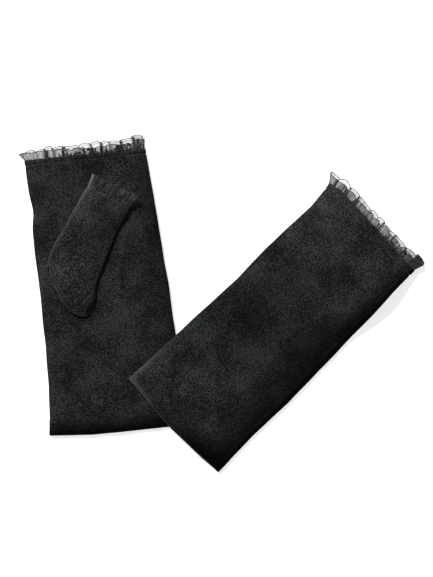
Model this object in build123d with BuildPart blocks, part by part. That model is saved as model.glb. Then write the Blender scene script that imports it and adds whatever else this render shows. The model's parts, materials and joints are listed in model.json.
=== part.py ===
"""A pair of fingerless wrist warmers in felted knit, lying one over the other.

The left-hand glove lies palm up on the table with its thumb folded over its palm. The
right-hand glove, its mirror image, lies back up over the left one's wrist corner, with its
thumb folded beneath it. Each glove is a flat tube of two panels joined along both sides,
hemmed at both ends, with a gathered organza ruffle round the fingers and round the thumb.

Millimetres and degrees. +Z is up from the table, +Y points to the left glove's fingers, and
the origin is on the table under the middle of the pair.
"""

from math import cos, pi, radians, sin, tan
import os

from build123d import *

# Cloth
cloth = 1.5  # one ply of felted knit
hem_ply = 0.6  # the pressed ply turned in at a hem
ruffle_ply = 0.35  # organza with its rolled edge
lay_thickness = 8.8  # a tube lying flat, with the air it holds
lay_gap = 0.3  # between a glove and what it lies on

# Hand tube, measured from the wrist
hand_length = 231.0
middle_along = 104.0
finger_half_width = 49.5
middle_half_width = {"left": 52.8, "right": 50.8}
wrist_half_width = {"left": 57.8, "right": 52.4}
side_bow = {"left": 0.0, "right": 2.6}  # both edges, towards the little finger
finger_tilt = 1.8
wrist_tilt = {"left": 4.2, "right": 1.6}
finger_hem_depth = 6.0
wrist_hem_depth = 14.0

# Thumb tube, measured from the fold across its base
thumb_length = 85.0
thumb_half_width = 21.6
thumb_heel_along = 22.0
thumb_heel_reach = 28.8  # how far the folded edge swells out above the fold
thumb_swell_along = 46.0
thumb_swell_reach = 28.0
thumb_seam_reach = 17.4
thumb_tilt = 3.0
thumb_hem_depth = 5.0
thumb_from_fingers = 107.4  # place of the fold's middle on the hand tube
thumb_across = -23.6
thumb_lean = 31.0  # towards the little finger

# Thumb root, sewn into the palm's rounded hole
root_half_width = 23.5
root_depth = 21.0  # behind the fold, towards the wrist
root_rise = 6.0  # ahead of the fold, under the thumb
root_lean = 26.0  # the hole leans back from the thumb's line to the hand's
root_crown_depth = 9.0
root_crown_inset = 1.5
root_points = 8
root_crown_drop = 0.8  # below the fold's axis, so that the raised thumb clears it

# Ruffles
pleat_pitch = 4.1
finger_ruffle_height = 8.5
thumb_ruffle_height = 7.5
ruffle_overhang = 2.5  # past the tube's side edges, at the free edge
base_wave = 0.4
free_wave = 1.6
free_edge_clearance = 0.15  # inside the tube's faces
steps_per_pleat = 4

# Lay of the pair
wrist_middle = {"left": (-82.62, -105.87), "right": (-38.63, -98.91)}
heading = {"left": -7.65, "right": 44.9}

# Drape of the right-hand glove, off what lies under it and down to the table
drape_start_wrist = 20.0
drape_start_finger = 50.0
drape_turn_from_fingers = 111.0
drape_turn_length = 90.0
drape_fall = 30.0
drape_past_tip = 14.0  # beyond the thumb's tip
drape_fall_past_thumb = 45.0
drape_station = 19.0
drape_points = 7
station_clearance = 5.0
least_drape_width = 8.0

thumb_along = hand_length - thumb_from_fingers
fold_radius = lay_thickness / 2
side_step = fold_radius  # the panels end where the round side edges begin


def smooth(share):
    """Rise from 0 to 1 with level ends."""
    share = min(max(share, 0), 1)
    return share * share * (3 - 2 * share)


def between(table, place):
    """Read a table of (place, value) pairs, straight between its lines and past its ends."""
    for (low, first), (high, second) in zip(table, table[1:]):
        if place <= high or (high, second) == table[-1]:
            return first + (second - first) * (place - low) / (high - low)


def no_drape(across, along):
    """A tube that lies level."""
    return 0.0


def drape_start(along):
    """Where the right-hand glove starts to sink, beside the things under it."""
    turn = smooth((along - hand_length + drape_turn_from_fingers) / drape_turn_length)
    return drape_start_wrist + (drape_start_finger - drape_start_wrist) * turn


def level_until(along):
    """How far across the right-hand glove lies level, beside its thumb and past its tip."""
    lean = radians(thumb_lean)
    past_tip = (thumb_length + drape_past_tip - (along - thumb_along) * cos(lean)) / sin(lean)
    return min(drape_start(along), past_tip + thumb_across)


def right_drape(across, along):
    """How far the right-hand glove sinks from its supports towards the table."""
    lean = radians(thumb_lean)
    up_thumb = (across - thumb_across) * sin(lean) + (along - thumb_along) * cos(lean)
    beside = smooth((across - drape_start(along)) / drape_fall)
    beyond = smooth((up_thumb - thumb_length - drape_past_tip) / drape_fall_past_thumb)
    return (lay_thickness + lay_gap) * (1 - (1 - beside) * (1 - beyond))


class Tube:
    """A flat tube of cloth: its lie on the table, its outline and its drape.

    Heights start at the tube's first wall. They run up on the left-hand glove, which lies
    palm up, and down on the right-hand one. Across runs towards the little finger.
    """

    def __init__(self, root, turn, up, base, length, edges, tilts, drape=no_drape):
        angle = radians(turn)
        self.along = Vector(sin(angle), cos(angle), 0)
        self.across = Vector(cos(angle), -sin(angle), 0)
        self.root, self.turn, self.up, self.base = root, turn, up, base
        self.length, self.edges, self.tilts, self.drape = length, edges, tilts, drape

    def point(self, across, along, height=0.0):
        """A place on the tube, in the pair's own frame."""
        level = Vector(0, 0, self.base + self.up * height)
        return self.root + self.across * across + self.along * along + level

    def station(self, along):
        """The plane of the tube's section at one place along it."""
        tilt = radians(between(self.tilts, along))
        line = self.across * cos(tilt) - self.along * sin(tilt)
        return Plane(self.point(0, along), x_dir=line, z_dir=line.cross(Vector(0, 0, self.up)))

    def plan(self, height):
        """A level plane over the tube's root, with x across the tube and y along it."""
        return Plane(self.point(0, 0, height), x_dir=self.across, z_dir=(0, 0, 1))

    def sides(self, along):
        """The two side edges at one place, as distances across."""
        return between(self.edges[0], along), between(self.edges[1], along)

    def sink(self, across, along):
        """The drape at a place on the section through this place along the tube."""
        tilt = radians(between(self.tilts, along))
        return self.drape(across * cos(tilt), along - across * sin(tilt))

    def stations(self, *marks):
        """The given places along the tube, with more between them where it drapes."""
        if self.drape is no_drape:
            return sorted(marks)
        count = int((max(marks) - min(marks)) / drape_station)
        extra = [min(marks) + drape_station * step for step in range(1, count)]
        clear = [
            place
            for place in extra
            if min(abs(place - mark) for mark in marks) > station_clearance
        ]
        return sorted([*marks, *clear])


def wall(tube, along, near, far):
    """Section of one flat wall of a tube, between two heights, up to the round side edges."""
    low, high = tube.sides(along)
    low, high = low + side_step, high - side_step
    draped = tube.drape is not no_drape
    level = min(level_until(along), high - least_drape_width) if draped else high
    run = [level + (high - level) * step / (drape_points - 1) for step in range(drape_points)]
    sinks = [0.0] + [tube.sink(x, along) for x in run[1:]]
    first = [(x, near + sink) for x, sink in zip(run, sinks)]
    second = [(x, far + sink) for x, sink in zip(run, sinks)]
    with BuildSketch(tube.station(along)) as section:
        with BuildLine():
            Line((low, near), (level, near))
            if draped:
                Spline(*first)
            Line(first[-1], second[-1])
            if draped:
                Spline(*reversed(second))
            Line((level, far), (low, far))
            Line((low, far), (low, near))
        make_face()
    return section.sketch


def side_edge(tube, along, side, base_height=0.0):
    """Section of a tube's round side edge: 0 is the thumb's side, 1 the little finger's."""
    edge = tube.sides(along)[side]
    seat = edge + (side_step if side == 0 else -side_step)
    low = base_height + tube.sink(seat, along)
    foot, top = (seat, low), (seat, low + lay_thickness)
    with BuildSketch(tube.station(along)) as section:
        with BuildLine():
            ThreePointArc(foot, (edge, low + fold_radius), top)
            Line(top, foot)
        make_face()
    return section.sketch


def gather(share, pleats):
    """The wave of a gathered ribbon, from -1 to 1, with uneven pleats."""
    main = sin(2 * pi * pleats * share)
    return 0.8 * main + 0.2 * sin(2 * pi * 0.37 * pleats * share + 1.0)


def ruffle_run(tube, along, side, wave, depth, overhang, base_height=0.0):
    """Section of a gathered ribbon along one wall: side -1 is the first wall, 1 the second.

    The two walls' runs meet at the tube's side edges, half way up.
    """
    low, high = tube.sides(along)
    low, high = low - overhang, high + overhang
    pleats = max(round((high - low) / pleat_pitch), 2)
    count = pleats * steps_per_pleat
    rise = fold_radius - depth
    inner, outer = [], []
    for step in range(count + 1):
        share = step / count
        x = low + (high - low) * share
        from_end = min(x - low, high - x)
        fullness = sin(pi / 2 * min(from_end / (2 * fold_radius), 1))
        offset = fullness * (rise + wave * gather(share, pleats))
        middle = base_height + fold_radius + tube.sink(x, along)
        inner.append((x, middle + side * offset))
        outer.append((x, middle + side * (offset + ruffle_ply)))
    outer.reverse()
    with BuildSketch(tube.station(along)) as section:
        with BuildLine():
            Spline(*inner)
            Line(inner[-1], outer[0])
            Spline(*outer)
            Line(outer[-1], inner[0])
        make_face()
    return section.sketch


def ruffle_sections(tube, side, height, base_height=0.0):
    """The ribbon's sections at the tube's mouth and at its free edge."""
    free_depth = free_edge_clearance + ruffle_ply + free_wave
    mouth = tube.length
    base = ruffle_run(tube, mouth, side, base_wave, cloth, 0.0, base_height)
    free = ruffle_run(
        tube, mouth + height, side, free_wave, free_depth, ruffle_overhang, base_height
    )
    return [base, free]


def hem_sections(tube, start, end, base_height=0.0):
    """Sections of the two plies turned in against a tube's walls, as two lists."""
    stations = tube.stations(start, end)
    near = base_height + cloth
    far = base_height + lay_thickness - cloth
    first = [wall(tube, along, near, near + hem_ply) for along in stations]
    second = [wall(tube, along, far - hem_ply, far) for along in stations]
    return first, second


def leaning_arc(half_width, depth):
    """Points round the back of the thumb's root: half an oval, leaning with the hand."""
    lean = depth * tan(radians(root_lean))
    turns = [pi - pi * step / root_points for step in range(root_points + 1)]
    return [(half_width * cos(turn) + lean * sin(turn), -depth * sin(turn)) for turn in turns]


def thumb_opening(plane, margin):
    """The hole that the thumb is sewn into: deep behind the fold and shallow ahead of it."""
    half_width = root_half_width - margin
    with BuildSketch(plane) as opening:
        with BuildLine():
            Spline(*leaning_arc(half_width, root_depth - margin))
            EllipticalCenterArc((0, 0), half_width, root_rise - margin, 0, arc_size=180)
        make_face()
    return opening.sketch


def clipped_root(plane, half_width, depth, clip):
    """The part of the root's outline that lies more than clip behind the fold."""
    arc = leaning_arc(half_width, depth)
    with BuildSketch(plane) as section:
        with BuildLine():
            Spline(*arc)
            Line(arc[-1], arc[0])
        make_face()
        with Locations((0, -clip)):
            size = 4 * half_width
            Rectangle(size, size, align=(Align.CENTER, Align.MAX), mode=Mode.INTERSECT)
    return section.sketch


os.makedirs("parts", exist_ok=True)

for hand in ("left", "right"):
    # Where the glove lies: the left one on the table, the right one on top of it
    up = 1 if hand == "left" else -1
    base = 0 if hand == "left" else 2 * lay_thickness + lay_gap
    widths = [
        (0, wrist_half_width[hand], 0),
        (middle_along, middle_half_width[hand], side_bow[hand]),
        (hand_length, finger_half_width, 0),
    ]
    tube = Tube(
        root=Vector(*wrist_middle[hand]),
        turn=heading[hand],
        up=up,
        base=base,
        length=hand_length,
        edges=[
            [(place, bow - half) for place, half, bow in widths],
            [(place, bow + half) for place, half, bow in widths],
        ],
        tilts=[(0, wrist_tilt[hand]), (hand_length, finger_tilt)],
        drape=no_drape if hand == "left" else right_drape,
    )
    thumb = Tube(
        root=tube.point(thumb_across, thumb_along) - Vector(0, 0, base),
        turn=heading[hand] + thumb_lean,
        up=up,
        base=base,
        length=thumb_length,
        edges=[
            [
                (0, -thumb_half_width),
                (thumb_heel_along, -thumb_heel_reach),
                (thumb_swell_along, -thumb_swell_reach),
                (thumb_length, -thumb_half_width),
            ],
            [
                (0, thumb_half_width),
                (thumb_heel_along, thumb_seam_reach),
                (thumb_length, thumb_seam_reach),
            ],
        ],
        tilts=[(0, 0), (thumb_heel_along, thumb_tilt), (thumb_length, thumb_tilt)],
    )
    palm_face = lay_thickness
    thumb_base = palm_face + lay_gap
    fold_height = thumb_base + fold_radius
    hand_stations = tube.stations(
        0, wrist_hem_depth, middle_along, hand_length - finger_hem_depth, hand_length
    )
    thumb_stations = [
        0, thumb_heel_along, thumb_swell_along, thumb_length - thumb_hem_depth, thumb_length
    ]

    # Back of the hand: the plain half of the tube
    with BuildPart() as back_panel:
        loft([wall(tube, along, 0, cloth) for along in hand_stations], ruled=True)
    back_panel.part.label = f"{hand}_back_panel"
    export_step(back_panel.part, f"parts/{hand}_back_panel.step")

    # Palm: the other half, with the rounded hole for the thumb
    with BuildPart() as palm_panel:
        loft(
            [wall(tube, along, palm_face - cloth, palm_face) for along in hand_stations],
            ruled=True,
        )
        extrude(
            thumb_opening(thumb.plan(palm_face - 2 * cloth), cloth),
            amount=up * 4 * cloth,
            mode=Mode.SUBTRACT,
        )
    palm_panel.part.label = f"{hand}_palm_panel"
    export_step(palm_panel.part, f"parts/{hand}_palm_panel.step")

    # The two sewn sides, each filled by its own turned seam allowance
    with BuildPart() as thumb_side_seam:
        loft([side_edge(tube, along, 0) for along in hand_stations], ruled=True)
    thumb_side_seam.part.label = f"{hand}_thumb_side_seam"
    export_step(thumb_side_seam.part, f"parts/{hand}_thumb_side_seam.step")

    with BuildPart() as little_finger_side_seam:
        loft([side_edge(tube, along, 1) for along in hand_stations], ruled=True)
    little_finger_side_seam.part.label = f"{hand}_little_finger_side_seam"
    export_step(little_finger_side_seam.part, f"parts/{hand}_little_finger_side_seam.step")

    # Hems: a ply turned in against each panel
    with BuildPart() as wrist_hem:
        for plies in hem_sections(tube, 0, wrist_hem_depth):
            loft(plies, ruled=True)
    wrist_hem.part.label = f"{hand}_wrist_hem"
    export_step(wrist_hem.part, f"parts/{hand}_wrist_hem.step")

    with BuildPart() as finger_hem:
        for plies in hem_sections(tube, hand_length - finger_hem_depth, hand_length):
            loft(plies, ruled=True)
    finger_hem.part.label = f"{hand}_finger_hem"
    export_step(finger_hem.part, f"parts/{hand}_finger_hem.step")

    # Gathered ribbon caught between each panel and its hem ply
    with BuildPart() as finger_ruffle:
        for side in (-1, 1):
            loft(ruffle_sections(tube, side, finger_ruffle_height), ruled=True)
    finger_ruffle.part.label = f"{hand}_finger_ruffle"
    export_step(finger_ruffle.part, f"parts/{hand}_finger_ruffle.step")

    # Thumb root: a low dome from the sewn oval up to the fold, open towards the thumb
    mouth_clip = fold_radius + lay_gap
    crown = fold_height - root_crown_drop
    crown_half_width = root_half_width - root_crown_inset
    with BuildPart() as thumb_root:
        loft(
            [
                clipped_root(thumb.plan(palm_face), root_half_width, root_depth, mouth_clip),
                clipped_root(thumb.plan(crown), crown_half_width, root_crown_depth, mouth_clip),
            ],
            ruled=True,
        )
        loft(
            [
                clipped_root(
                    thumb.plan(palm_face), root_half_width - cloth, root_depth - cloth, 0
                ),
                clipped_root(
                    thumb.plan(crown - cloth), crown_half_width - cloth, root_crown_depth - cloth, 0
                ),
            ],
            ruled=True,
            mode=Mode.SUBTRACT,
        )
    thumb_root.part.label = f"{hand}_thumb_root"
    export_step(thumb_root.part, f"parts/{hand}_thumb_root.step")

    # Thumb's outer wall, which rolls round the fold with a quarter-round nose
    nose_low, nose_high = thumb.sides(0)
    nose_low, nose_high = nose_low + side_step, nose_high - side_step
    nose_plane = Plane(
        thumb.point(nose_low, 0, fold_height), x_dir=thumb.along, z_dir=thumb.across * up
    )
    thumb_top = thumb_base + lay_thickness
    with BuildPart() as thumb_outer_panel:
        loft([wall(thumb, along, thumb_top - cloth, thumb_top) for along in thumb_stations], ruled=True)
        with BuildSketch(nose_plane):
            Circle(fold_radius)
            Circle(fold_radius - cloth, mode=Mode.SUBTRACT)
            Rectangle(
                2 * fold_radius, 2 * fold_radius, align=(Align.MAX, Align.MIN), mode=Mode.INTERSECT
            )
        extrude(amount=up * (nose_high - nose_low))
    thumb_outer_panel.part.label = f"{hand}_thumb_outer_panel"
    export_step(thumb_outer_panel.part, f"parts/{hand}_thumb_outer_panel.step")

    # Thumb's inner wall, which starts at the far rim of the palm's hole
    with BuildPart() as thumb_inner_panel:
        loft(
            [wall(thumb, along, thumb_base, thumb_base + cloth) for along in thumb_stations],
            ruled=True,
        )
        extrude(
            thumb_opening(thumb.plan(thumb_base - cloth), 0),
            amount=up * 3 * cloth,
            mode=Mode.SUBTRACT,
        )
    thumb_inner_panel.part.label = f"{hand}_thumb_inner_panel"
    export_step(thumb_inner_panel.part, f"parts/{hand}_thumb_inner_panel.step")

    # Thumb's two sides: cut on the fold, and sewn
    with BuildPart() as thumb_fold_edge:
        loft([side_edge(thumb, along, 0, thumb_base) for along in thumb_stations], ruled=True)
    thumb_fold_edge.part.label = f"{hand}_thumb_fold_edge"
    export_step(thumb_fold_edge.part, f"parts/{hand}_thumb_fold_edge.step")

    with BuildPart() as thumb_seam_edge:
        loft([side_edge(thumb, along, 1, thumb_base) for along in thumb_stations], ruled=True)
    thumb_seam_edge.part.label = f"{hand}_thumb_seam_edge"
    export_step(thumb_seam_edge.part, f"parts/{hand}_thumb_seam_edge.step")

    # Thumb's hem and its ribbon
    with BuildPart() as thumb_hem:
        start = thumb_length - thumb_hem_depth
        for plies in hem_sections(thumb, start, thumb_length, thumb_base):
            loft(plies, ruled=True)
    thumb_hem.part.label = f"{hand}_thumb_hem"
    export_step(thumb_hem.part, f"parts/{hand}_thumb_hem.step")

    with BuildPart() as thumb_ruffle:
        for side in (-1, 1):
            loft(ruffle_sections(thumb, side, thumb_ruffle_height, thumb_base), ruled=True)
    thumb_ruffle.part.label = f"{hand}_thumb_ruffle"
    export_step(thumb_ruffle.part, f"parts/{hand}_thumb_ruffle.step")

    fold = thumb.point(0, 0, fold_height)
    print(f"{hand} thumb fold at {fold.X:.3f} {fold.Y:.3f} {fold.Z:.3f}", end=", ")
    print(f"axis {up * thumb.across.X:.5f} {up * thumb.across.Y:.5f} 0")
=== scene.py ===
import json
import math

import bpy
import numpy as np
from mathutils import Matrix, noise


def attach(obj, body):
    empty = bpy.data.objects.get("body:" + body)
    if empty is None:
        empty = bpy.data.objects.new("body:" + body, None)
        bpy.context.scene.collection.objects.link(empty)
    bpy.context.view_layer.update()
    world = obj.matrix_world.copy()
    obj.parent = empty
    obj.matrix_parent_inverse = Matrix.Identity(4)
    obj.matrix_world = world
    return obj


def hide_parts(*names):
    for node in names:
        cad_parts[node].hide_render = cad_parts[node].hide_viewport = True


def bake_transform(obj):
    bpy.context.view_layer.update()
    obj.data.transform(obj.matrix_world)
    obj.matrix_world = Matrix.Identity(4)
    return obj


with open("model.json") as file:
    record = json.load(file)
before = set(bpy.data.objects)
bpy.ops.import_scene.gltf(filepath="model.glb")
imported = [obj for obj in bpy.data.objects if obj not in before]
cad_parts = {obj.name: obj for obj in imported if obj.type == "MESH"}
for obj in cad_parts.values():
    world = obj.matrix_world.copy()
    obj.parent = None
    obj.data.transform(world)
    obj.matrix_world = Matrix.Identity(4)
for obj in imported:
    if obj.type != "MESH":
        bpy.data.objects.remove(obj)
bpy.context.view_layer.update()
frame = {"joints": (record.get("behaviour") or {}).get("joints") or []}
bpy.ops.object.select_all(action="DESELECT")

# Hand tubes. The body of each glove is a palm and a back of boiled wool knit, sewn together
# down both sides with the allowances inside, and turned in and stitched at wrist and fingers.
hand_length = 0.231
tube_thickness = 0.0088
cloth_thickness = 0.0015
hem_thickness = 0.0019
finger_hem_depth = 0.006
wrist_hem_depth = 0.014
side_places = (0.0, 0.015, 0.040, 0.080, 0.120, 0.155, 0.180, 0.205, 0.231)
hand_sides = {  # the thumb's side, then the little finger's
    "left": (
        (-0.0606, -0.0584, -0.0558, -0.0538, -0.0524, -0.0525, -0.0515, -0.0508, -0.0504),
        (0.0578, 0.0573, 0.0563, 0.0551, 0.0548, 0.0534, 0.0528, 0.0517, 0.0503),
    ),
    "right": (
        (-0.0533, -0.0526, -0.0518, -0.0501, -0.0483, -0.0492, -0.0482, -0.0473, -0.0496),
        (0.0546, 0.0542, 0.0536, 0.0550, 0.0545, 0.0534, 0.0532, 0.0516, 0.0515),
    ),
}
wrist_reach = {  # from side to side, how far the wrist's end runs on
    "left": ((-1, -0.4, 0, 0.66, 1), (0.0002, 0.0016, 0.0009, -0.0011, -0.0017)),
    "right": ((-1, 0, 1), (0.0027, 0.0055, 0.0025)),
}
tilts = {"left": (4.2, 1.8), "right": (1.6, 1.8)}  # degrees, at the wrist and at the fingers
hem_line = {"left": 0.0042, "right": 0.0062}  # from the fingers' end to its row of stitches
thumb_across, thumb_along, thumb_lean = -0.0236, 0.1236, math.radians(31)
past_thumb_tip = 0.099
rest_height = {"left": 0.0, "right": 0.0091}  # the right glove lies on the left one
opening_heights = {"left": (0.0044, 0.0125), "right": (0.0054, 0.0114)}  # of the cut in the palm
opening_share = 0.93  # of the line that the thumb is sewn along
side_pinch, side_pinch_width = 0.54, 0.018  # how much thinner the tube is at its sides
finger_pinch, finger_pinch_length = 0.20, 0.030
wrist_pinch, wrist_pinch_length = 0.50, 0.016
slow_wave = (0.0021, 0.028, 0.038)  # height, and size across and along
quick_wave = (0.00045, 0.010, 0.012)
hem_fullness, stitch_dip, stitch_dip_width = 0.00035, 0.0005, 0.0008
lie_seed = {"left": 3.0, "right": 11.0}
hand_map_width = 0.206

gloves = {}
for joint in frame["joints"]:
    if joint["type"] == "hinge":
        hand = joint["name"].split("_")[0]
        up = 1 if hand == "left" else -1
        sideways = up * np.array(joint["axis"][:2])
        ahead = np.array([-sideways[1], sideways[0]])
        along = math.cos(thumb_lean) * ahead - math.sin(thumb_lean) * sideways
        across = math.cos(thumb_lean) * sideways + math.sin(thumb_lean) * ahead
        fold = np.array(joint["pos_m"])
        root = fold[:2] - across * thumb_across - along * thumb_along
        gloves[hand] = {
            "up": up, "fold": fold, "thumb_across": sideways, "thumb_along": ahead,
            "along": along, "across": across, "root": root,
        }


def smooth(share):
    """An even step from 0 to 1."""
    share = np.clip(share, 0, 1)
    return share * share * (3 - 2 * share)


def waver(x, y, seed):
    """Gentle unevenness of cloth, from -1 to 1, at each pair of places."""
    x, y = np.broadcast_arrays(x, y)
    flat = [noise.noise((i, j, seed)) for i, j in zip(x.ravel(), y.ravel())]
    return np.array(flat).reshape(x.shape)


def from_thumb_root(x, s):
    """Places on a hand, taken from its thumb's root: across the thumb, and up it."""
    x, s = x - thumb_across, s - thumb_along
    side = x * math.cos(thumb_lean) - s * math.sin(thumb_lean)
    return side, x * math.sin(thumb_lean) + s * math.cos(thumb_lean)


def sink(hand, x, s):
    """How far the upper glove sinks from the things under it towards the table."""
    if hand == "left":
        return np.zeros(np.broadcast(x, s).shape)
    start = 0.020 + 0.030 * smooth((s - 0.120) / 0.090)
    beside = smooth((x - start) / 0.030)
    beyond = smooth((from_thumb_root(x, s)[1] - past_thumb_tip) / 0.045)
    return rest_height["right"] * (1 - (1 - beside) * (1 - beyond))


def on_hand(hand, x, s, q):
    """Points in the pair's own frame, from across, along and above the resting face."""
    glove = gloves[hand]
    tilt = np.radians(np.interp(s, (0, hand_length), tilts[hand]))
    px, ps = x * np.cos(tilt), s - x * np.sin(tilt)
    flat = glove["root"] + px[..., None] * glove["across"] + ps[..., None] * glove["along"]
    z = rest_height[hand] + q - sink(hand, px, ps)
    return np.concatenate([flat, z[..., None]], axis=-1)


def oval(count, power=3.2, spread=6.0):
    """A flattened outline, from -1 to 1 both ways, anticlockwise from its right end."""
    t = np.linspace(0, 2 * np.pi, 6001)
    x = np.sign(np.cos(t)) * np.abs(np.cos(t)) ** (2 / power)
    y = np.sign(np.sin(t)) * np.abs(np.sin(t)) ** (2 / power)
    run = np.concatenate([[0], np.cumsum(np.hypot(np.diff(x) * spread, np.diff(y)))])
    steps = np.linspace(0, run[-1], count, endpoint=False)
    return np.interp(steps, run, x), np.interp(steps, run, y)


def ridge(x, s, first, last, width):
    """A soft ridge along a line on the cloth, fading out at both ends."""
    (x0, s0), (x1, s1) = first, last
    long = math.hypot(x1 - x0, s1 - s0)
    ux, us = (x1 - x0) / long, (s1 - s0) / long
    run = ((x - x0) * ux + (s - s0) * us) / long
    off = ((x - x0) * us - (s - s0) * ux) / width
    return np.exp(-off * off) * smooth((run + 0.25) / 0.4) * smooth((1.25 - run) / 0.4)


creases = {  # from, to, half width, height
    "left": (
        ((-0.050, 0.1775), (-0.030, 0.186), 0.0050, 0.0026),
        ((-0.050, 0.194), (-0.026, 0.201), 0.0060, -0.0022),
        ((0.006, 0.060), (0.040, 0.048), 0.011, -0.0010),
        ((-0.040, 0.072), (-0.010, 0.083), 0.008, 0.0009),
        ((0.022, 0.190), (0.034, 0.120), 0.007, 0.0008),
        ((0.0095, 0.0421), (0.0372, -0.0007), 0.0040, -0.0030),  # pressed by the upper glove
    ),
    "right": (
        ((-0.048, 0.132), (-0.034, 0.158), 0.0065, -0.0021),
        ((-0.012, 0.186), (0.022, 0.188), 0.016, 0.0014),
        ((0.030, 0.150), (0.046, 0.139), 0.005, -0.0016),
        ((0.0500, 0.050), (0.0485, 0.150), 0.0016, 0.0011),
        ((-0.030, 0.030), (0.015, 0.055), 0.012, -0.0011),
        ((-0.045, 0.224), (0.045, 0.224), 0.0016, 0.0004),
    ),
}


def under_thumb(x, s):
    """Where the thumb and its root press the palm flat, from 0 to 1."""
    side, ahead = from_thumb_root(x, s)
    beside = smooth((side + 0.034) / 0.008) * smooth((0.030 - side) / 0.008)
    return beside * smooth((ahead + 0.032) / 0.008) * smooth((0.092 - ahead) / 0.010)


def hand_surface(hand, s, xi, eta, inset=0.0):
    """The tube's outer face, with the lie of its cloth, or a face inset from it."""
    seed = lie_seed[hand]
    low, high = (np.interp(s, side_places, side) for side in hand_sides[hand])
    edge = np.abs(xi) ** 6
    x = (low + high) / 2 + (high - low) / 2 * xi
    if hand == "left":  # a crease ends in a small bulge at the side
        x = x + 0.0022 * np.exp(-(((s - 0.187) / 0.011) ** 2)) * edge * (xi < 0)

    # Full in the middle, and pressed thin at the sides and both ends
    from_side = np.minimum(x - low, high - x)
    at_side = np.clip(1 - from_side / side_pinch_width, 0, 1) ** 2
    at_fingers = smooth(1 - (hand_length - s) / finger_pinch_length)
    at_wrist = np.clip(1 - s / wrist_pinch_length, 0, 1) ** 2
    fullest = np.minimum(1 - side_pinch * at_side, 1 - finger_pinch * at_fingers)
    thick = tube_thickness * np.minimum(fullest, 1 - wrist_pinch * at_wrist)

    # Slow and quick waves of the upper layer, with its creases
    top = smooth((eta + 0.2) / 0.9)
    inside = 1 - np.abs(xi) ** 5
    lie = -0.0009 * inside * (1 - 0.5 * np.abs(xi))
    high, wide, long = slow_wave
    lie = lie + high * inside * waver(x / wide, s / long, seed + 1)
    high, wide, long = quick_wave
    lie = lie + high * waver(x / wide, s / long, seed + 2)
    for first, last, width, high in creases[hand]:
        lie = lie + high * ridge(x, s, first, last, width)
    if hand == "left":
        lie = lie + (-0.0004 - lie) * under_thumb(x, s)
    q = thick / 2 + np.maximum(thick / 2 - inset, 0.0001) * eta + lie * top

    # Hems a little fuller than the single cloth, a sunk row of stitches, and uneven side seams
    stitch = np.exp(-(((hand_length - s - hem_line[hand]) / stitch_dip_width) ** 2))
    hem_step = 0.0002 * smooth((wrist_hem_depth - s) / 0.0015)
    fullness = hem_fullness * (hand_length - s < hem_line[hand] * 0.9)
    fullness = fullness - stitch_dip * stitch + hem_step
    seam = 0.0004 * waver(np.sign(xi) * 5, s / 0.021, seed)
    seam = seam - 0.00035 * np.exp(-(((np.abs(xi) - 1) / 0.002) ** 2))
    normal = np.sign(eta) * np.abs(eta) ** 0.5
    q = q + fullness * normal
    x = x + (fullness + seam) * np.sign(xi) * edge - inset * xi

    # The wrist's end runs on, and the layers stay apart and off the table
    outward = np.interp(xi, *wrist_reach[hand]) * smooth((0.045 - s) / 0.045)
    if hand == "right":
        outward = outward + 0.0024 * smooth((-xi - 0.78) / 0.22) * smooth((s - 0.212) / 0.019)
    least = 0.0001 + inset + (0.0006 - 0.25 * inset) * np.maximum(eta, 0)
    return on_hand(hand, x, s - outward, np.maximum(q, least))


def facing(rows):
    """Outward directions of a sheet of points that closes round on itself."""
    round_it = np.roll(rows, -1, axis=1) - np.roll(rows, 1, axis=1)
    along_it = np.gradient(rows, axis=0)
    out = np.cross(along_it, round_it)
    return out / np.maximum(np.linalg.norm(out, axis=2, keepdims=True), 1e-12)


def unit(v):
    return v / np.maximum(np.linalg.norm(v, axis=-1, keepdims=True), 1e-12)


def turned_in(rows, inner, start_lip=True):
    """Both faces of a cloth tube, with its rolled edges, as one closed sheet of points."""
    sheets = [rows]

    def lip(k, away):
        middle, half = (rows[k] + inner[k]) / 2, (rows[k] - inner[k]) / 2
        ahead = unit(away) * np.linalg.norm(half, axis=-1, keepdims=True)
        turns = np.radians([25, 55, 90, 125, 155])
        return [middle + half * math.cos(t) + ahead * math.sin(t) for t in turns]

    sheets.append(np.array(lip(-1, rows[-1] - rows[-2])))
    sheets.append(inner[::-1])
    if start_lip:
        sheets.append(np.array(lip(0, rows[0] - rows[1])[::-1]))
    return np.concatenate(sheets)


def cloth_mesh(name, rows, width, close_rows=True, marks=None):
    """A mesh from closed rows of points, with a cloth map in metres and a map of marks on it."""
    count, around = rows.shape[:2]
    last_row = count if close_rows else count - 1
    steps = np.linalg.norm(np.diff(rows, axis=0), axis=2).mean(axis=1)
    v = np.concatenate([[0], np.cumsum(steps), [0]])
    v[-1] = v[-2] + np.linalg.norm(rows[0] - rows[-1], axis=1).mean()
    faces, uvs = [], []
    for j in range(last_row):
        k = (j + 1) % count
        for i in range(around):
            n = (i + 1) % around
            faces.append((j * around + i, k * around + i, k * around + n, j * around + n))
            left, right = width * i / around, width * (i + 1) / around
            uvs += [(left, v[j]), (left, v[j + 1]), (right, v[j + 1]), (right, v[j])]
    mesh = bpy.data.meshes.new(name)
    mesh.from_pydata(rows.reshape(-1, 3).tolist(), [], faces)
    layer = mesh.uv_layers.new(name="cloth")
    layer.data.foreach_set("uv", np.array(uvs).ravel())
    if marks is not None:
        corners = np.zeros(len(mesh.loops), dtype=np.int32)
        mesh.loops.foreach_get("vertex_index", corners)
        marked = np.zeros((count * around, 2))
        marked[: marks[..., 0].size] = marks.reshape(-1, 2)
        mesh.uv_layers.new(name="marks").data.foreach_set("uv", marked[corners].ravel())
    mesh.shade_smooth()
    mesh.update()
    piece = bpy.data.objects.new(name, mesh)
    bpy.context.scene.collection.objects.link(piece)
    return piece


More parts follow.
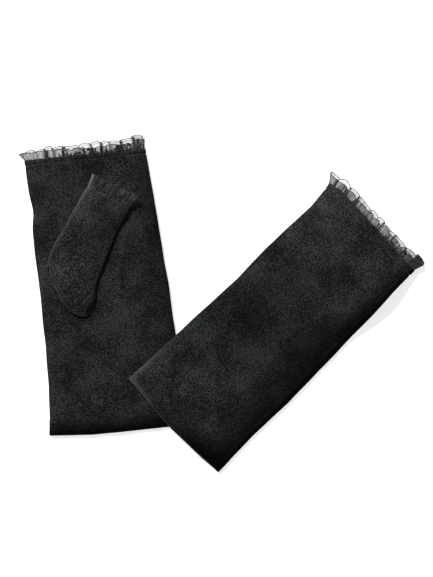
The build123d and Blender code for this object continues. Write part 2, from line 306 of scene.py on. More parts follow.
def root_curve(xi, behind):
    """The rounded opening in the palm that the thumb is sewn into, in the thumb's frame."""
    depth = np.sqrt(np.clip(1 - xi * xi, 0, 1))
    x = 0.0220 * xi - 0.0025 + np.where(behind, 0.015 * depth, 0.0)
    y = np.where(behind, -0.0243 * depth ** (1.25 - 0.25 * xi), 0.006 * depth) + 0.0018 * (1 - xi)
    return x, y


shade_places = (0.440, 0.50, 0.565)
felt_shades = ((0.0016, 0.0020, 0.0018), (0.0116, 0.0134, 0.0124), (0.0530, 0.0570, 0.0540))
green_tint, warm_tint = (0.95, 1.02, 0.98), (1.09, 0.98, 0.95)
painted_highlight = (0.19, 0.19, 0.18, 1)  # painted highlight on edges that face the lamp, speckled by the fibres
painted_shade = (0.0015, 0.0016, 0.0015, 1)  # painted shade on broad bands, on edges turned from the lamp and in the bottom of a seam
lint_shade = (0.42, 0.42, 0.40, 1)


def math_node(tree, kind, *values, clamp=False):
    """A Math node's result from numbers and other nodes' outputs."""
    node = tree.nodes.new("ShaderNodeMath")
    node.operation, node.use_clamp = kind, clamp
    for socket, value in zip(node.inputs, values):
        if isinstance(value, (int, float)):
            socket.default_value = value
        else:
            tree.links.new(value, socket)
    return node.outputs[0]


def mottling(tree, place, scale, detail, distortion=0.0, roughness=0.5):
    """A Noise Texture's values over a map."""
    node = tree.nodes.new("ShaderNodeTexNoise")
    sizes = {"Scale": scale, "Detail": detail, "Distortion": distortion, "Roughness": roughness}
    for name, value in sizes.items():
        node.inputs[name].default_value = value
    tree.links.new(place, node.inputs["Vector"])
    return node.outputs["Fac"]


def tones(tree, source, places, shades):
    """A colour ramp that runs through the shades at those places."""
    ramp = tree.nodes.new("ShaderNodeValToRGB")
    stops = ramp.color_ramp.elements
    while len(stops) < len(shades):
        stops.new(0.5)
    for stop, place, shade in zip(stops, places, shades):
        stop.position, stop.color = place, (*shade, 1)
    tree.links.new(source, ramp.inputs["Fac"])
    return ramp.outputs["Color"]


def mixed(tree, share, first, second, kind="MIX"):
    """A mix of two colours, each of them a shade or another node's output."""
    node = tree.nodes.new("ShaderNodeMix")
    node.data_type, node.blend_type = "RGBA", kind
    for name, value in (("Factor", share), ("A", first), ("B", second)):
        if isinstance(value, bpy.types.NodeSocket):
            tree.links.new(value, node.inputs[name])
        else:
            node.inputs[name].default_value = value
    return node.outputs["Result"]


def raised(tree, height, strength, distance):
    """A Bump node's normal."""
    bump = tree.nodes.new("ShaderNodeBump")
    bump.inputs["Strength"].default_value = strength
    bump.inputs["Distance"].default_value = distance
    tree.links.new(height, bump.inputs["Height"])
    return bump.outputs["Normal"]


def piece_map(tree, name):
    """One of a piece's own maps: its cloth in metres, or the marks on it."""
    node = tree.nodes.new("ShaderNodeUVMap")
    node.uv_map = name
    return node.outputs["UV"]


def piece_marks(tree):
    """The two marks that a piece carries at each place, from 0 to 1."""
    node = tree.nodes.new("ShaderNodeSeparateXYZ")
    tree.links.new(piece_map(tree, "marks"), node.inputs["Vector"])
    return node.outputs["X"], node.outputs["Y"]


def new_material(name):
    """A material with its node tree and the shader in it."""
    material = bpy.data.materials.new(name)
    material.use_nodes = True
    return material, material.node_tree, material.node_tree.nodes["Principled BSDF"]


def felted_grain():
    """Node group: the mottling and the matted fibres of boiled wool, over a cloth map."""
    group = bpy.data.node_groups.new("felted_grain", "ShaderNodeTree")
    group.interface.new_socket("Map", in_out="INPUT", socket_type="NodeSocketVector")
    for name in ("Mottle", "Tint", "Fibres", "Lint"):
        group.interface.new_socket(name, in_out="OUTPUT", socket_type="NodeSocketFloat")
    nodes, links = group.nodes, group.links
    place = nodes.new("NodeGroupInput").outputs["Map"]
    end = nodes.new("NodeGroupOutput")

    def weighted(*parts):
        total = math_node(group, "MULTIPLY", *parts[0])
        for value, weight in parts[1:]:
            total = math_node(group, "ADD", total, math_node(group, "MULTIPLY", value, weight))
        return total

    broad, middle, fine, tint = (
        mottling(group, place, scale, detail, distortion, 0.6)
        for scale, detail, distortion in ((34, 2, 0.3), (260, 2, 0.8), (1050, 2, 0.6), (75, 3, 0.5))
    )
    wales = nodes.new("ShaderNodeTexWave")
    for name, value in (("Scale", 190), ("Distortion", 2.5), ("Detail", 2), ("Detail Scale", 3)):
        wales.inputs[name].default_value = value
    links.new(place, wales.inputs["Vector"])
    specks = nodes.new("ShaderNodeTexVoronoi")
    specks.inputs["Scale"].default_value = 26
    links.new(place, specks.inputs["Vector"])
    chance = nodes.new("ShaderNodeSeparateColor")
    links.new(specks.outputs["Color"], chance.inputs["Color"])
    near = math_node(group, "LESS_THAN", specks.outputs["Distance"], 0.016)
    chosen = math_node(group, "GREATER_THAN", chance.outputs["Red"], 0.93)
    links.new(weighted((broad, 0.23), (middle, 0.13), (fine, 0.64)), end.inputs["Mottle"])
    links.new(tint, end.inputs["Tint"])
    fibres = weighted((middle, 0.4), (fine, 0.6), (wales.outputs["Fac"], 0.12))
    links.new(fibres, end.inputs["Fibres"])
    links.new(math_node(group, "MULTIPLY", near, chosen), end.inputs["Lint"])
    return group


def felt(name):
    """Boiled wool: black with a faint hue, with a painted highlight and painted shade laid on by its
    marks.
    """
    material, tree, shader = new_material(name)
    grain = tree.nodes.new("ShaderNodeGroup")
    grain.node_tree = felted_grain()
    tree.links.new(piece_map(tree, "cloth"), grain.inputs["Map"])
    # Its marks paint a highlight on edges that face the lamp, and shade on edges turned from it, in
    # a seam and in broad bands
    highlight_mark, shade_mark = piece_marks(tree)
    speckled_highlight = math_node(tree, "MULTIPLY", highlight_mark, grain.outputs["Fibres"])
    hue = tones(tree, grain.outputs["Tint"], (0.38, 0.64), (green_tint, warm_tint))
    colour = tones(tree, grain.outputs["Mottle"], shade_places, felt_shades)
    colour = mixed(tree, speckled_highlight, colour, painted_highlight)
    colour = mixed(tree, shade_mark, colour, painted_shade)
    colour = mixed(tree, 1, colour, hue, "MULTIPLY")
    colour = mixed(tree, grain.outputs["Lint"], colour, lint_shade)
    tree.links.new(colour, shader.inputs["Base Color"])
    tree.links.new(raised(tree, grain.outputs["Fibres"], 0.9, 0.0005), shader.inputs["Normal"])
    shader.inputs["Roughness"].default_value = 0.95
    shader.inputs["Sheen Roughness"].default_value = 0.4

    # A faint gloss and sheen, fading to next to none where shade is painted
    for socket, full_gloss in (("Specular IOR Level", 0.12), ("Sheen Weight", 0.06)):
        gloss = tree.nodes.new("ShaderNodeMapRange")
        gloss.inputs["To Min"].default_value = full_gloss
        gloss.inputs["To Max"].default_value = 0.1 * full_gloss
        tree.links.new(shade_mark, gloss.inputs["Value"])
        tree.links.new(gloss.outputs["Result"], shader.inputs[socket])
    return material


black_felt = felt("boiled_wool_black")

# Painted shade in broad bands along each glove, darkest on the right glove's middle
shade_band_places = (0.0, 0.050, 0.115, 0.175, 0.215)
shade_bands = {"left": (0.28, 0.32, 0.28, 0.32, 0.25), "right": (0.20, 0.28, 0.53, 0.24, 0.0)}
side_shade = {"left": 0.40, "right": 0.95}  # painted shade along the little finger's side
outline_x, outline_y = oval(176)


def hand_marks(hand, s):
    """A painted highlight on rims that face the lamp, and painted shade, along and round a tube."""
    banded_shade = np.interp(s, shade_band_places, shade_bands[hand])[:, None]
    low, high = (np.interp(s, side_places, side)[:, None] for side in hand_sides[hand])
    s, xi = s[:, None], outline_x[None]
    # Painted shade at the wrist's end; on the right glove, a painted highlight on the rims that face
    # the lamp
    if hand == "left":
        shaded_end = 0.97 * np.exp(-((s / 0.0105) ** 2))
        rim = 0
    else:
        shaded_end = (0.12 + 0.85 * smooth(xi + 0.55)) * np.exp(-((s / 0.0150) ** 2))
        rim = 0.60 * np.exp(-((s / 0.0034) ** 2)) * smooth((-xi - 0.3) / 0.5)
        beside = np.exp(-((0.052 * (1 + xi) / 0.0028) ** 2))
        rim = np.maximum(rim, 0.50 * beside * smooth((0.050 - s) / 0.040))
    # Painted shade along the little finger's side, with a lighter line 5 mm in from it
    from_side = (high - low) / 2 * (1 - xi)
    shaded_side = side_shade[hand] * np.exp(-((from_side / 0.0125) ** 2))
    shaded_side = shaded_side * (1 - 0.30 * np.exp(-(((from_side - 0.0050) / 0.0011) ** 2)))
    # The painted shade of bands, end and side, together
    flat = 1 - (1 - banded_shade) * (1 - shaded_end) * (1 - shaded_side)
    return np.stack([rim + 0 * flat, flat], axis=2)


def open_palm(tube, glove, bottom, top):
    """Cuts the rounded opening that the thumb is sewn into, out of the palm alone."""
    behind = root_curve(np.cos(np.linspace(0, np.pi, 25)), True)
    before = root_curve(np.cos(np.linspace(np.pi, 2 * np.pi, 25))[1:-1], False)
    x, y = (np.concatenate(pair) * opening_share for pair in zip(behind, before))
    ring = glove["fold"][:2] + x[:, None] * glove["thumb_across"] + y[:, None] * glove["thumb_along"]
    plug = bpy.data.meshes.new("plug")
    count = len(ring)
    points = [(*p, z) for z in (bottom, top) for p in ring]
    sides = [(i, (i + 1) % count, (i + 1) % count + count, i + count) for i in range(count)]
    ends = [tuple(range(count))[::-1], tuple(range(count, 2 * count))]
    plug.from_pydata(points, [], ends + sides)
    cutter = bpy.data.objects.new("plug", plug)
    bpy.context.scene.collection.objects.link(cutter)
    bpy.context.view_layer.objects.active = cutter
    cutter.select_set(True)
    bpy.ops.object.mode_set(mode="EDIT")
    bpy.ops.mesh.select_all(action="SELECT")
    bpy.ops.mesh.normals_make_consistent(inside=False)
    bpy.ops.object.mode_set(mode="OBJECT")
    bpy.ops.object.select_all(action="DESELECT")
    bpy.context.view_layer.objects.active = tube
    tube.select_set(True)
    cut = tube.modifiers.new("thumb_opening", "BOOLEAN")
    cut.operation, cut.object, cut.solver = "DIFFERENCE", cutter, "EXACT"
    bpy.ops.object.modifier_apply(modifier=cut.name)
    bpy.data.objects.remove(cutter)
    bpy.ops.object.select_all(action="DESELECT")


for hand, glove in gloves.items():
    lip = hem_thickness / 2
    s = np.concatenate([
        np.linspace(lip, 0.018, 24, endpoint=False),
        np.linspace(0.018, hand_length - 0.012, 104, endpoint=False),
        np.linspace(hand_length - 0.012, hand_length - lip, 26),
    ])
    hemmed = (s < wrist_hem_depth) | (s > hand_length - finger_hem_depth)
    thick = np.where(hemmed, hem_thickness, cloth_thickness)[:, None]
    outer = hand_surface(hand, s[:, None], outline_x[None], outline_y[None])
    inner = hand_surface(hand, s[:, None], outline_x[None], outline_y[None], thick)
    glove["mouth"] = outer[-4:]
    rows, marks = turned_in(outer, inner), hand_marks(hand, s)
    tube = cloth_mesh(f"{hand}_hand_tube", rows, hand_map_width, marks=marks)
    open_palm(tube, glove, *opening_heights[hand])
    tube.data.materials.append(black_felt)
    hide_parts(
        f"{hand}_palm_panel", f"{hand}_back_panel", f"{hand}_thumb_side_seam",
        f"{hand}_little_finger_side_seam", f"{hand}_finger_hem", f"{hand}_wrist_hem",
    )
    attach(tube, f"{hand}_glove")

# Thumbs. A tapered tube of the same cloth, cut on the fold and sewn down one side, is set
# into the palm's rounded opening by a turned seam, and lies folded over at its base.
thumb_length = 0.078
thumb_thickness = 0.0084
thumb_edge_thickness = 0.0036
thumb_cloth = 0.0013
thumb_hem_thickness = 0.0017
thumb_hem_depth = 0.006
thumb_stitch_lines = (0.0022, 0.0047)  # from the thumb's end
thumb_stitch_dip, thumb_stitch_dip_width = 0.0004, 0.0006
fold_to_palm = 0.0047  # from the fold's middle down to the palm's own face
heel_end = 0.024
thumb_outline_x, thumb_outline_y = oval(128, power=3.6, spread=4.0)
inwards = -np.sign(thumb_outline_y) * np.abs(thumb_outline_y) ** 0.5  # the way its stitches sink
thumb_tilt = math.radians(3)
thumb_seed = {"left": 21.0, "right": 37.0}
thumb_map_width = 0.094


def thumb_sides(y):
    """The thumb's two edges: the folded one swells over its heel, the sewn one draws in."""
    left = np.interp(y, (0, 0.012, 0.022, 0.036, 0.060, 0.078),
                     (-0.0262, -0.0284, -0.0286, -0.0272, -0.0245, -0.0226))
    right = np.interp(y, (0, 0.012, 0.036, 0.060, 0.078), (0.0190, 0.0162, 0.0151, 0.0148, 0.0168))
    return left, right


def on_thumb(glove, x, y, q):
    """Points from across, along and above the palm's own face, on the thumb's side of it."""
    flat = glove["fold"][:2] + x[..., None] * glove["thumb_across"]
    flat = flat + y[..., None] * glove["thumb_along"]
    z = glove["fold"][2] + glove["up"] * (q - fold_to_palm)
    return np.concatenate([flat, z[..., None]], axis=-1)


def thumb_surface(hand, share, place):
    """The sock's outer face: share runs from the seam to the heel's end, place goes on."""
    xi, eta = thumb_outline_x[None], thumb_outline_y[None]
    share, place = share[:, None], place[:, None]
    seed = thumb_seed[hand]
    behind = eta >= 0
    ring_x, ring_y = root_curve(xi, behind)
    left, right = thumb_sides(place)
    middle, half = (left + right) / 2, (right - left) / 2
    tube_x = middle + half * xi
    tube_x = tube_x + 0.0004 * np.abs(xi) ** 6 * waver(np.sign(xi) * 3, place / 0.017, seed)
    skew = -tube_x * math.tan(thumb_tilt) * smooth(place / 0.05)
    tube_y = place + skew
    edge_thickness = thumb_edge_thickness + 0.0010 * smooth((place - 0.060) / 0.020)
    crown = edge_thickness + (thumb_thickness - edge_thickness) * (1 - xi * xi)
    tube_q = 0.0003 + crown / 2 * (1 + eta)
    wavy = waver(tube_x / 0.013, place / 0.022, seed + 1)
    tube_q = tube_q + np.where(behind, 0.0006 * wavy - 0.0007 * (1 - xi * xi), 0.0)

    # It comes up out of the sunk seam: the layer below it soon, the one above more slowly
    ease = 1 - (1 - share) ** 3
    step = smooth((xi - 0.45) / 0.35)
    rise = (1 - step) * (1 - (1 - share) ** 3.4) + step * smooth((share - 0.02 - 0.09 * step) / 0.08)
    rise = np.where(behind, rise, 1 - (1 - share) ** 6)
    x = ring_x + (tube_x - ring_x) * ease
    y = ring_y + (tube_y - ring_y) * share
    q = -0.0010 + 0.0009 * smooth(share / 0.035) + (tube_q + 0.0001) * rise
    return x, y, q


def outwards(glove, rows):
    """The same rows, turned about on the glove that lies on its thumb, so faces point out."""
    return rows[:, ::-1] if glove["up"] < 0 else rows


for hand, glove in gloves.items():
    lip = thumb_hem_thickness / 2
    from_seam = np.concatenate([np.linspace(0, 0.06, 9), np.linspace(0.08, 1, 47)])
    onwards = np.concatenate([
        np.linspace(heel_end, thumb_length - 0.010, 37)[1:],
        np.linspace(thumb_length - 0.010, thumb_length - lip, 21)[1:],
    ])
    share = np.concatenate([from_seam, np.ones(len(onwards))])
    place = np.concatenate([np.full(len(from_seam), heel_end), onwards])
    x, y, q = thumb_surface(hand, share, place)
    from_mouth = thumb_length - place[:, None]
    dips = [np.exp(-(((from_mouth - d) / thumb_stitch_dip_width) ** 2)) for d in thumb_stitch_lines]
    q = q + thumb_stitch_dip * sum(dips) * inwards
    outer = outwards(glove, on_thumb(glove, x, y, q))
    glove["thumb_mouth"] = outer[-4:]
    thick = np.where(place > thumb_length - thumb_hem_depth, thumb_hem_thickness, thumb_cloth)
    rows = turned_in(outer, outer - facing(outer) * thick[:, None, None], start_lip=False)
    # Painted highlight along the folded edge that faces the lamp, stronger towards the mouth, and
    # painted shade in the seam's groove
    lit_edge = np.exp(-(((thumb_outline_x[None] + 1) / 0.090) ** 2)) * share[:, None]
    lit_edge_strength = 0.25 + 0.75 * smooth((place - 0.055) / 0.025)
    seam_shade = 1 - 0.91 * smooth((share - 0.035) / 0.020)
    marks = np.stack([lit_edge * lit_edge_strength[:, None], seam_shade[:, None] + 0 * lit_edge], axis=2)
    sock = cloth_mesh(f"{hand}_thumb_tube", rows, thumb_map_width, marks=outwards(glove, marks))
    sock.data.materials.append(black_felt)
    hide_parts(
        f"{hand}_thumb_root", f"{hand}_thumb_outer_panel", f"{hand}_thumb_inner_panel",
        f"{hand}_thumb_fold_edge", f"{hand}_thumb_seam_edge", f"{hand}_thumb_hem",
    )
    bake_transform(sock)

# Ruffles. A narrow ribbon of black organza with a rolled, overlocked edge is gathered and
# caught in the hem all round the fingers, and a smaller one round the thumb.
inside_hem = 0.001
bend_from, bend_height = 0.003, 0.0026  # lower than this a ruffle bends along the table
table_gap = 0.0004
organza_highlight = (0.185, 0.180, 0.172, 1)  # painted highlight where the ribbon turns up to the light


def organza(name, single, streaked, shades, crinkle, stretched):
    """Sheer where the ribbon is single, and dense where it is gathered in and folded."""
    material, tree, shader = new_material(name)
    nodes, links = tree.nodes, tree.links
    cloth = piece_map(tree, "cloth")
    gathers, highlight_mask = piece_marks(tree)
    stretch = nodes.new("ShaderNodeMapping")
    stretch.inputs["Scale"].default_value = (1, stretched, 1)
    links.new(cloth, stretch.inputs["Vector"])
    creases = mottling(tree, stretch.outputs["Vector"], crinkle, 3, roughness=0.7)
    streaks = nodes.new("ShaderNodeMapRange")
    streaks.inputs["From Min"].default_value = 0.38
    streaks.inputs["From Max"].default_value = 0.64
    links.new(creases, streaks.inputs["Value"])
    streak = streaks.outputs["Result"]
    weave = []
    for direction in ("X", "Y"):
        wave = nodes.new("ShaderNodeTexWave")
        wave.bands_direction = direction
        wave.inputs["Scale"].default_value = 900
        links.new(cloth, wave.inputs["Vector"])
        weave.append(wave.outputs["Fac"])
    threads = math_node(tree, "MAXIMUM", *weave)
    cover = math_node(tree, "MULTIPLY_ADD", streak, streaked, single)
    dense = math_node(tree, "MULTIPLY", gathers, math_node(tree, "MULTIPLY_ADD", streak, 0.5, 0.75))
    cover = math_node(tree, "ADD", cover, dense)
    cover = math_node(tree, "MULTIPLY_ADD", threads, 0.06, cover, clamp=True)
    links.new(cover, shader.inputs["Alpha"])
    # Painted highlight where the doubled ribbon turns up to the light
    colour = mixed(tree, highlight_mask, tones(tree, creases, (0.42, 0.58), shades), organza_highlight)
    links.new(colour, shader.inputs["Base Color"])
    links.new(raised(tree, creases, 0.5, 0.0002), shader.inputs["Normal"])
    shader.inputs["Roughness"].default_value = 0.5
    shader.inputs["Specular IOR Level"].default_value = 0.2
    return material


def thread(name, color):
    """Fine black thread, lighter and darker along its twist."""
    material, tree, shader = new_material(name)
    place = tree.nodes.new("ShaderNodeTexCoord").outputs["Object"]
    twist = mottling(tree, place, 2600, 2)
    shades = [tuple(level * c for c in color) for level in (0.5, 1.6)]
    tree.links.new(tones(tree, twist, (0, 1), shades), shader.inputs["Base Color"])
    tree.links.new(raised(tree, twist, 0.6, 0.0001), shader.inputs["Normal"])
    shader.inputs["Roughness"].default_value = 0.55
    return material


finger_shades = ((0.033, 0.033, 0.034), (0.004, 0.004, 0.004))
finger_organza = organza("organza_fingers", 0.16, 0.26, finger_shades, 700, 0.10)
thumb_shades = ((0.066, 0.062, 0.058), (0.002, 0.0018, 0.0016))
thumb_organza = organza("organza_thumb", 0.20, 0.16, thumb_shades, 430, 0.45)
overlock_thread = thread("overlock_thread", (0.012, 0.012, 0.012))


def run_round(line):
    """How far round a closed line each of its points is, and the whole way round at the end."""
    closed = np.concatenate([line, line[:1]])
    return np.concatenate([[0], np.cumsum(np.linalg.norm(np.diff(closed, axis=0), axis=1))])


def places_on(steps, run, values):
    """What a closed line has at each step along it."""
    looped = np.concatenate([values, values[:1]])
    return np.stack([np.interp(steps, run, looped[:, k]) for k in range(3)], axis=1)


def pleats(length, steps, style):
    """Uneven pleats round a mouth: at each step its number, and its size, room and slant."""
    draw = np.random.default_rng(round(style["seed"]))
    count = round(length / style["pleat"])
    gaps = draw.uniform(0.55, 1.45, count)
    gaps = gaps / gaps.sum() * length
    number = np.interp(steps, np.concatenate([[0], np.cumsum(gaps)]), np.arange(count + 1))
    nearest = np.rint(number).astype(int) % count
    size = draw.uniform(0.25, 1.35, count)[nearest]
    room = np.minimum(gaps, np.roll(gaps, 1))[nearest]
    slant = draw.uniform(-1, 1, count)[nearest]
    return number, size, room, slant


def gathered(glove, mouth, style):
    """Rows of a ribbon gathered round a tube's mouth, from inside its hem to its free edge."""
    ring = mouth[-1] - facing(mouth)[-1] * inside_hem
    run = run_round(ring)
    length = run[-1]
    steps = np.linspace(0, length, style["points"], endpoint=False)
    base = places_on(steps, run, ring)
    out = unit(places_on(steps, run, facing(mouth)[-1]))
    ahead = unit(places_on(steps, run, unit(mouth[-1] - mouth[-2])))
    side = unit(np.roll(base, -1, axis=0) - np.roll(base, 1, axis=0))
    turn = 2 * np.pi * steps / length
    rim = length / (2 * np.pi)
    across = (base[:, :2] - base[:, :2].mean(axis=0)) @ glove["across"]
    across = across / np.abs(across).max()
    upper = smooth(out[:, 2] * 0.8 + 0.5)

    def uneven(wide, number):
        radius = rim / wide
        return waver(radius * np.cos(turn), radius * np.sin(turn), style["seed"] + number)

    # Each pleat's fold, the dark bar of cloth doubled beside it, and the small gathers between
    number, size, room, slant = pleats(length, steps, style)
    phase = 2 * np.pi * number
    small = round(length / style["gather"]) * turn + 4.0 * uneven(0.006, 9)
    fold = size * smooth((np.cos(phase) - 0.35) / 0.6)
    beside = number - np.rint(number) - style["fold"] * size * np.sin(phase)
    bar = smooth((size - 0.35) / 0.6) * np.exp(-((beside / 0.10) ** 2))
    corner = np.exp(-((np.minimum(steps, length - steps) / 0.0090) ** 2)) * style["bunch"]

    # How far the ribbon stands out past the sides, how tall it is and how far up it is packed
    first, last = style["overhang"]
    overhang = np.interp(across, (-1, -0.9, 0.9, 1), (first, 0, 0, last))
    back, front = (np.interp(across, *style[layer]) for layer in ("back", "front"))
    tall = back + (front - back) * upper
    ragged = 0.16 * uneven(0.015, 2) + 0.12 * uneven(0.0045, 6)
    tall = tall * (1 + ragged - 0.09 * np.cos(phase) - 0.04 * fold)
    tall = tall + 0.0014 * np.maximum(upper, 0.25) * uneven(0.0030, 13) + 0.0030 * corner
    packed = np.interp(across, *style["packed"]) * np.maximum(upper, 0.25)
    packed = packed * (0.85 + 1.0 * uneven(0.0034, 10)) + 0.0016 * uneven(0.0013, 12) + 0.0003
    packed = packed + 0.0030 * corner

    rows, density = [], []
    for v in np.linspace(0, 1, 12):
        high = -style["buried"] + (tall + style["buried"]) * v
        rise = np.clip(high / tall, 0, 1)
        sway = -style["fold"] * room * size * (0.25 + 0.75 * v) * np.sin(phase)
        sway = sway + style["tuck"] * (1 - 0.7 * rise + 1.5 * fold) * np.sin(small)
        flare = style["lean"] * upper * v ** 1.3 - style["wave"] * (0.1 + 0.9 * v) * np.cos(phase)
        flare = flare + style["tuck"] * (1 - 0.6 * rise) * np.cos(small)
        flare = flare + 0.0008 * v * uneven(0.0028, 5)
        flare = flare * (1 - 0.7 * corner) + overhang * rise
        high = high + 0.0011 * rise * slant * size * np.sin(phase) * (fold > 0)
        rows.append(base + side * sway[:, None] + out * flare[:, None] + ahead * high[:, None])

        uneven_threads = waver(steps / 0.0014, np.full(len(steps), v * 8), style["seed"] + 11)
        speckle = 0.70 + 1.2 * uneven_threads
        dense = smooth((packed - high) / 0.0030 + 0.5) * speckle
        dense = np.maximum(dense, bar * (0.85 - 0.55 * rise) * (0.30 + 0.7 * speckle))
        dense = np.maximum(dense, 0.8 * bar * smooth((rise - 0.80) / 0.15))
        layer = style["veil"] + style["front_layer"] * upper * (0.85 + 0.6 * uneven(0.0016, 14))
        bunched = (0.4 + 0.8 * style["bunch"]) * corner * (1 - 0.3 * rise)
        density.append(np.maximum(dense, layer + bunched))

    # The lower half bends along the table instead of dipping into it
    rows = np.array(rows)
    low = rows[..., 2]
    bent = table_gap + bend_height * np.exp((low - bend_from) / bend_height)
    rows[..., 2] = np.where(low < bend_from, bent, low)
    # Painted highlight at the thumb's side of the ribbon, where it turns up to the light
    fold_highlight = np.broadcast_to(smooth((-across - 0.82) / 0.14) * upper, rows.shape[:2]) * style["fold_highlight"]
    return rows, np.stack([np.clip(density, 0, 1), fold_highlight], axis=2)


def rolled_edge(name, line, radius):
    """A thread worked round a closed line of points."""
    ahead = unit(np.roll(line, -1, axis=0) - np.roll(line, 1, axis=0))
    first = unit(np.cross(ahead, (0.3, 0.2, 1.0)))
    second = np.cross(ahead, first)
    turns = np.linspace(0, 2 * np.pi, 5, endpoint=False)
    rings = np.array([line + radius * (math.cos(t) * first + math.sin(t) * second) for t in turns])
    return cloth_mesh(name, rings.transpose(1, 0, 2)[:, ::-1], 2 * np.pi * radius)


# Lengths are in metres. "back", "front" and "packed" go from the thumb's side, -1, to the other:
# how tall the ruffle is behind and in front, and how far up its gathers are packed close.
finger_style = {
    "points": 1400, "pleat": 0.0098, "gather": 0.0019, "buried": 0.003, "lean": 0.0022,
    "wave": 0.0016, "fold": 0.27, "tuck": 0.00034, "radius": 0.00033, "front_layer": 0.30,
    "fold_highlight": 0, "width": 0.012,
}
thumb_style = {
    "points": 720, "pleat": 0.0064, "gather": 0.0016, "buried": 0.003, "lean": 0.0010,
    "wave": 0.0014, "fold": 0.27, "tuck": 0.0003, "radius": 0.0002, "front_layer": 0.20,
    "fold_highlight": 0.75, "width": 0.015, "bunch": 0.3, "overhang": (0.0008, 0.0030), "veil": 0,
    "back": ((-1, 1), (0.0124, 0.0124)), "front": ((-1, 1), (0.0124, 0.0124)),
    "packed": ((-1, 1), (0.004, 0.003)),
}
ruffle_styles = {
    ("left", "finger"): {
        **finger_style, "seed": 96.0, "bunch": 0.35, "overhang": (0.0052, 0.0016), "veil": 0,
        "back": ((-1, -0.4, 0.7, 0.9), (0.0080, 0.0090, 0.0098, 0.0108)),
        "front": ((-1, -0.5, -0.2, 0.7, 0.9), (0.0060, 0.0072, 0.0056, 0.0056, 0.0075)),
        "packed": (
            (-1, -0.5, -0.25, 0.2, 0.6, 0.72, 0.85, 0.93, 1),
            (0, 0.0010, 0.0036, 0.0050, 0.0056, 0.0085, 0.0080, 0.0050, 0.001),
        ),
    },
    ("left", "thumb"): {**thumb_style, "seed": 93.0},
    ("right", "finger"): {
        **finger_style, "seed": 103.0, "bunch": 1.0, "overhang": (0.0022, 0.0036), "veil": 0.13,
        "back": ((-1, 1), (0.0092, 0.0090)), "front": ((-1, -0.8, 1), (0.0072, 0.0056, 0.0054)),
        "packed": ((-1, 0.0, 0.5, 0.85, 0.95), (0.0010, 0.0014, 0.0035, 0.0065, 0.0100)),
    },
    ("right", "thumb"): {**thumb_style, "seed": 100.0},
}
held_in = {  # its mouth, its sheer cloth, the body that it moves with, and the tube it rests on
    "finger": ("mouth", finger_organza, "glove", "hand_tube"),
    "thumb": ("thumb_mouth", thumb_organza, "thumb", "thumb_tube"),
}
for (hand, part), style in ruffle_styles.items():
    glove = gloves[hand]
    mouth, sheer, body, tube = held_in[part]
    rows, marks = gathered(glove, glove[mouth], style)
    length = np.linalg.norm(np.diff(rows[-1], axis=0), axis=1).sum()
    ribbon = cloth_mesh(f"{hand}_{part}_ruffle_ribbon", rows, length, close_rows=False, marks=marks)
    ribbon.data.materials.append(sheer)
    edge = rolled_edge(f"{hand}_{part}_ruffle_edge", rows[-1], style["radius"])
    edge.data.materials.append(overlock_thread)
    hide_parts(f"{hand}_{part}_ruffle")
    for piece in (ribbon, edge):
        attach(piece, f"{hand}_{body}")

# Topstitching. A row of short stitches in black thread holds each hem and the ruffle in it,
# one row round the fingers and two round the thumb.
stitch_size = (0.0012, 0.00026, 0.00022)  # half its length, width and height
hem_pitch, thumb_pitch = 0.0030, 0.0027
proud = 0.00005  # from the cloth to a stitch's middle
look_ahead = 0.3  # of a stitch's pitch, to the place that it points to
beside_line = 0.0002  # from a row of stitches to the lines beside it that give its direction
stitch_thread = thread("sewing_thread", (0.010, 0.010, 0.011))
bpy.ops.mesh.primitive_uv_sphere_add(segments=8, ring_count=5, radius=1)
stitch = bpy.context.object
stitch.name = "stitch"
bpy.ops.object.mode_set(mode="EDIT")
bpy.ops.mesh.select_all(action="SELECT")
bpy.ops.transform.resize(value=stitch_size)
bpy.ops.object.mode_set(mode="OBJECT")
bpy.ops.object.select_all(action="DESELECT")
stitch.data.materials.append(stitch_thread)
stitch.data.shade_smooth()


def stitch_row(name, rows, pitch):
    """Copies of the one stitch, end to end round the middle one of three lines on the cloth."""
    out = facing(rows)[1]
    line = rows[1] + out * proud
    run = run_round(line)
    steps = np.arange(0, run[-1] - pitch / 2, pitch)
    at = places_on(steps, run, line)
    on = places_on(steps + pitch * look_ahead, run, line)
    off = unit(places_on(steps, run, out))
    made = []
    for k in range(len(steps)):
        piece = stitch.copy()
        piece.data = stitch.data.copy()
        bpy.context.scene.collection.objects.link(piece)
        x = unit(on[k] - at[k])
        z = unit(off[k] - x * (off[k] @ x))
        y = np.cross(z, x)
        turn = np.identity(4)
        turn[:3, 0], turn[:3, 1], turn[:3, 2], turn[:3, 3] = x, y, z, at[k]
        piece.data.transform(Matrix(turn.tolist()))
        made.append(piece)
    for piece in made:
        piece.select_set(True)
    bpy.context.view_layer.objects.active = made[0]
    bpy.ops.object.join()
    made[0].name = name
    bpy.ops.object.select_all(action="DESELECT")
    return made[0]


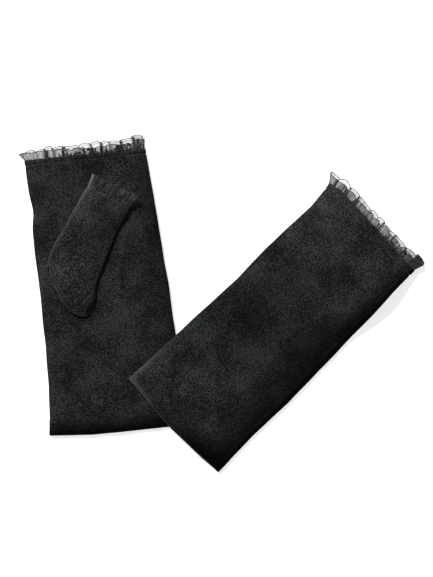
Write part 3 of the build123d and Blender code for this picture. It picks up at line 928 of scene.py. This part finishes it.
for hand, glove in gloves.items():
    stitched = []
    near = hand_length - hem_line[hand]
    lines = np.array([near - beside_line, near, near + beside_line])
    rows = hand_surface(hand, lines[:, None], outline_x[None], outline_y[None])
    stitched.append((stitch_row(f"{hand}_finger_hem_stitches", rows, hem_pitch), "glove"))
    for number, back in enumerate(thumb_stitch_lines, 1):
        near = thumb_length - back
        lines = np.array([near - beside_line, near, near + beside_line])
        x, y, q = thumb_surface(hand, np.ones(3), lines)
        q = q + thumb_stitch_dip * inwards
        rows = outwards(glove, on_thumb(glove, x, y, q))
        name = f"{hand}_thumb_hem_stitches_{number}"
        stitched.append((stitch_row(name, rows, thumb_pitch), "thumb"))
    for row, body in stitched:
        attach(row, f"{hand}_{body}")
bpy.data.objects.remove(stitch)

# The stage: a white table, a soft lamp at the upper left, and a camera looking straight down.
# Table and room look white to the camera, and throw less light than that on the gloves.
table_glow = 0.72
room_light = 0.17


def seen_directly(tree):
    """1 for what a camera, a reflection or glass shows, and 0 for light that falls on things."""
    rays = tree.nodes.new("ShaderNodeLightPath").outputs
    either = math_node(tree, "MAXIMUM", rays["Is Camera Ray"], rays["Is Glossy Ray"])
    return math_node(tree, "MAXIMUM", either, rays["Is Transmission Ray"])


bpy.ops.mesh.primitive_plane_add(size=6, location=(0, 0, -0.0004))
table = bpy.context.object
table.name = "table"
paper, tree, shader = new_material("table_white")
shader.inputs["Base Color"].default_value = (0.86, 0.86, 0.86, 1)
shader.inputs["Roughness"].default_value = 1
shader.inputs["Specular IOR Level"].default_value = 0
shader.inputs["Emission Color"].default_value = (1, 1, 1, 1)
glow = math_node(tree, "MULTIPLY", seen_directly(tree), table_glow)
tree.links.new(glow, shader.inputs["Emission Strength"])
table.data.materials.append(paper)

world = bpy.data.worlds.new("studio")
world.use_nodes = True
bpy.context.scene.world = world
tree = world.node_tree
level = tree.nodes.new("ShaderNodeMapRange")
level.inputs["To Min"].default_value = room_light
level.inputs["To Max"].default_value = 1.0
tree.links.new(seen_directly(tree), level.inputs["Value"])
tree.links.new(level.outputs["Result"], tree.nodes["Background"].inputs["Strength"])
tree.nodes["Background"].inputs["Color"].default_value = (1, 1, 1, 1)

lamp = bpy.data.lights.new("soft_lamp", "SUN")
lamp.energy = 3.8
lamp.angle = 0.15
lamp_stand = bpy.data.objects.new("soft_lamp", lamp)
lamp_stand.rotation_euler = (math.radians(-37), math.radians(-31), 0)
bpy.context.scene.collection.objects.link(lamp_stand)

lens = bpy.data.cameras.new("overhead")
lens.lens = 135
lens.sensor_width = 36
camera = bpy.data.objects.new("overhead", lens)
camera.location = (-0.0044, 0.0122, 1.794)
bpy.context.scene.collection.objects.link(camera)
bpy.context.scene.camera = camera
bpy.context.scene.view_settings.view_transform = "Standard"
